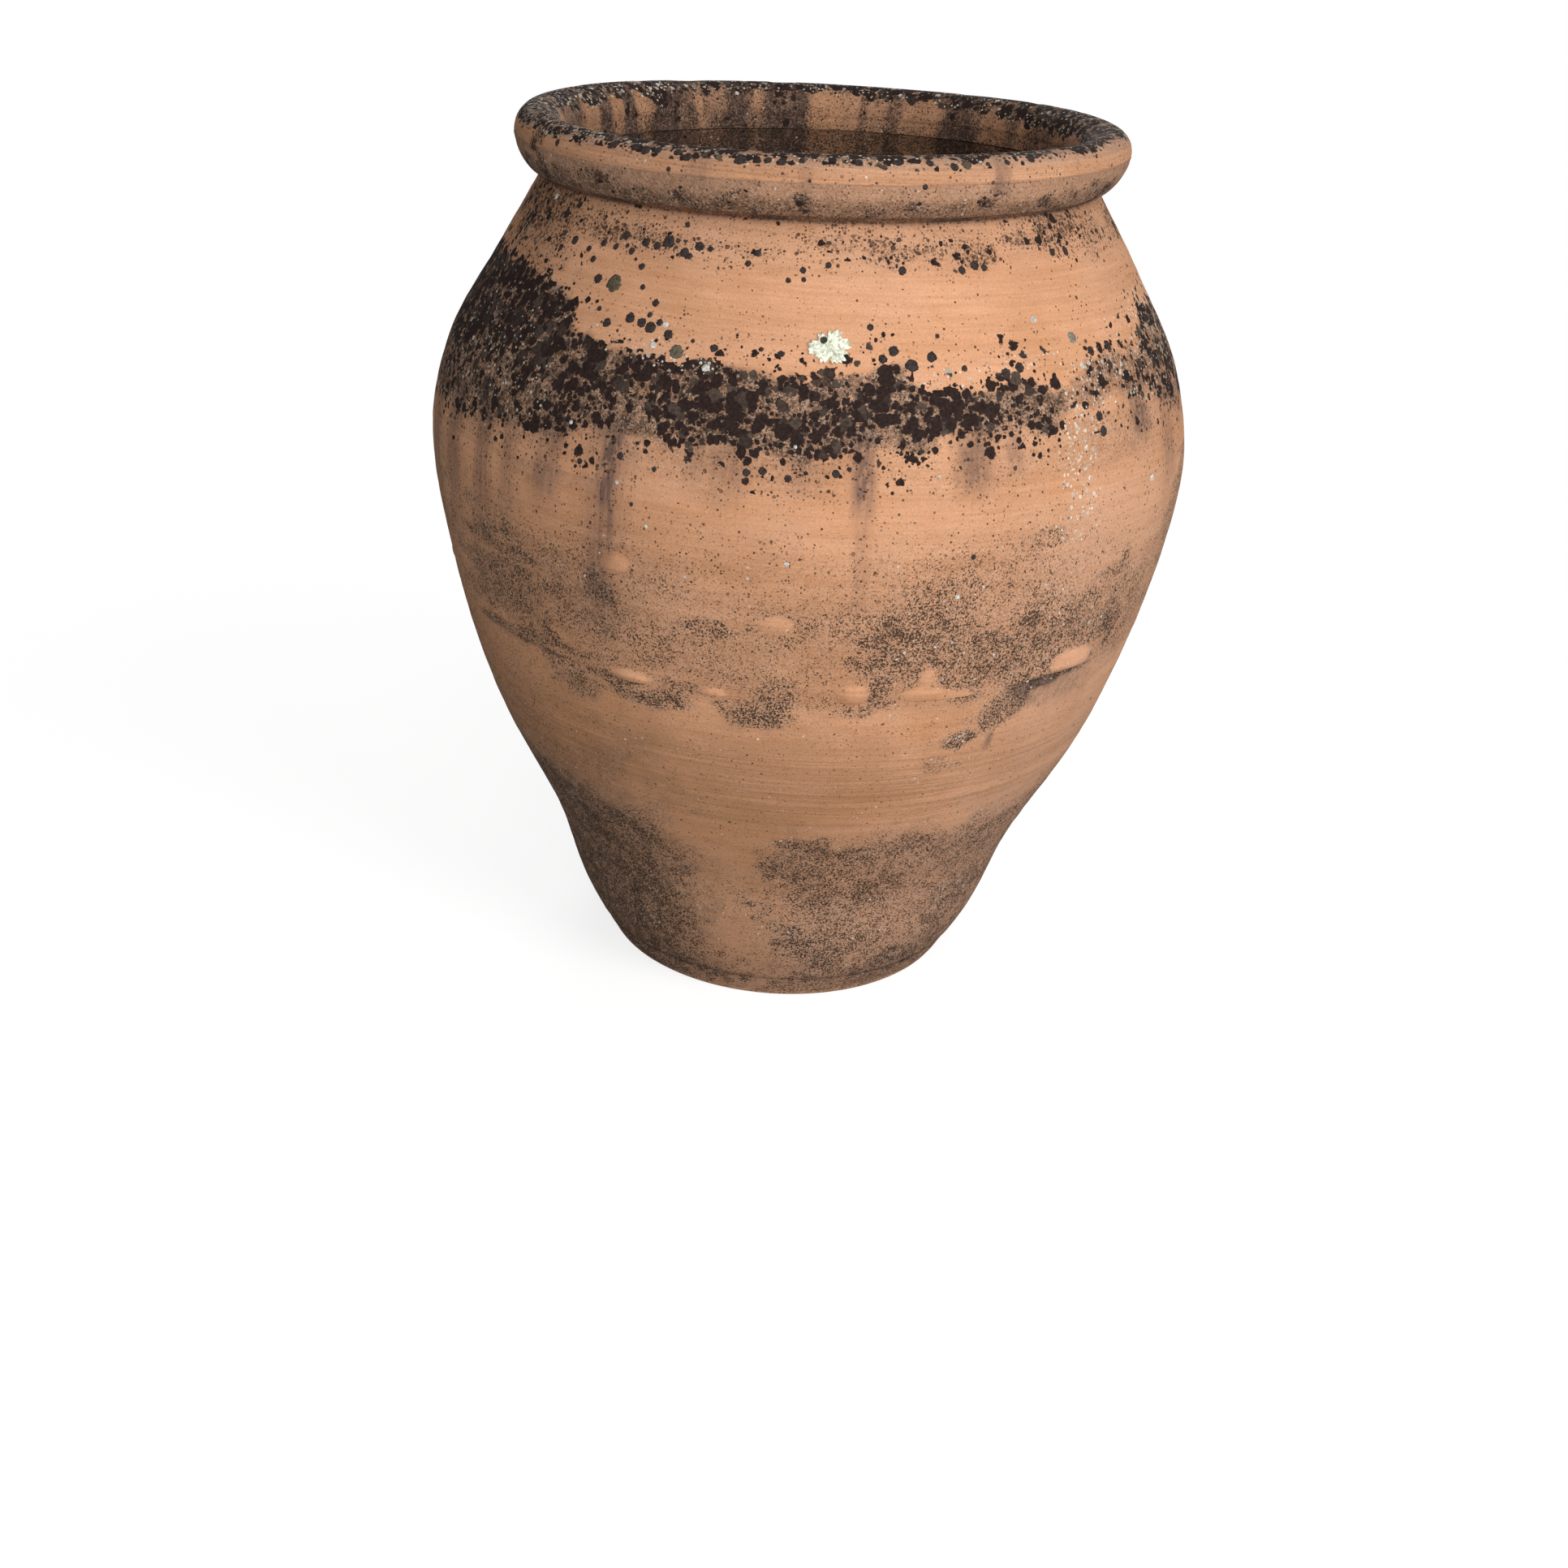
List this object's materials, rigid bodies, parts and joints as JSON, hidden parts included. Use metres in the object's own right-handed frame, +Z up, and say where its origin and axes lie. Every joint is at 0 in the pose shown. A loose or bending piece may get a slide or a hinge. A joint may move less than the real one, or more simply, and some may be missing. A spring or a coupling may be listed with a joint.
{
  "type": "terracotta jar",
  "caption": "Large round-bellied terracotta storage jar on a narrow foot, thrown in luted sections, with a lapped belly seam, a wide mouth and a thick rolled rim.",
  "frame": {"origin": "centre of the jar's underside", "axes": "+Z up along the jar's axis, -Y towards the front of the picture, +X to its right"},
  "size_m": [0.652, 0.652, 0.75],
  "materials": {
    "floor_slab": "unglazed, damp-stained terracotta",
    "floor_corner_coil": "unglazed terracotta, thumbed smooth",
    "foot_section": "unglazed terracotta, weathered and speckled dark",
    "lower_belly_section": "unglazed terracotta, throwing rings, water-stained",
    "upper_belly_section": "unglazed terracotta, lapped seam with finger dabs, dark lichen spots above",
    "shoulder_section": "unglazed terracotta, band of dark lichen spots",
    "rim_roll": "unglazed terracotta, crest blackened by lichen"
  },
  "bodies": {
    "root": {"floor_slab": "floor_slab", "floor_corner_coil": "floor_corner_coil", "foot_section": "foot_section", "lower_belly_section": "lower_belly_section", "upper_belly_section": "upper_belly_section", "shoulder_section": "shoulder_section", "rim_roll": "rim_roll"}
  },
  "joints": []
}
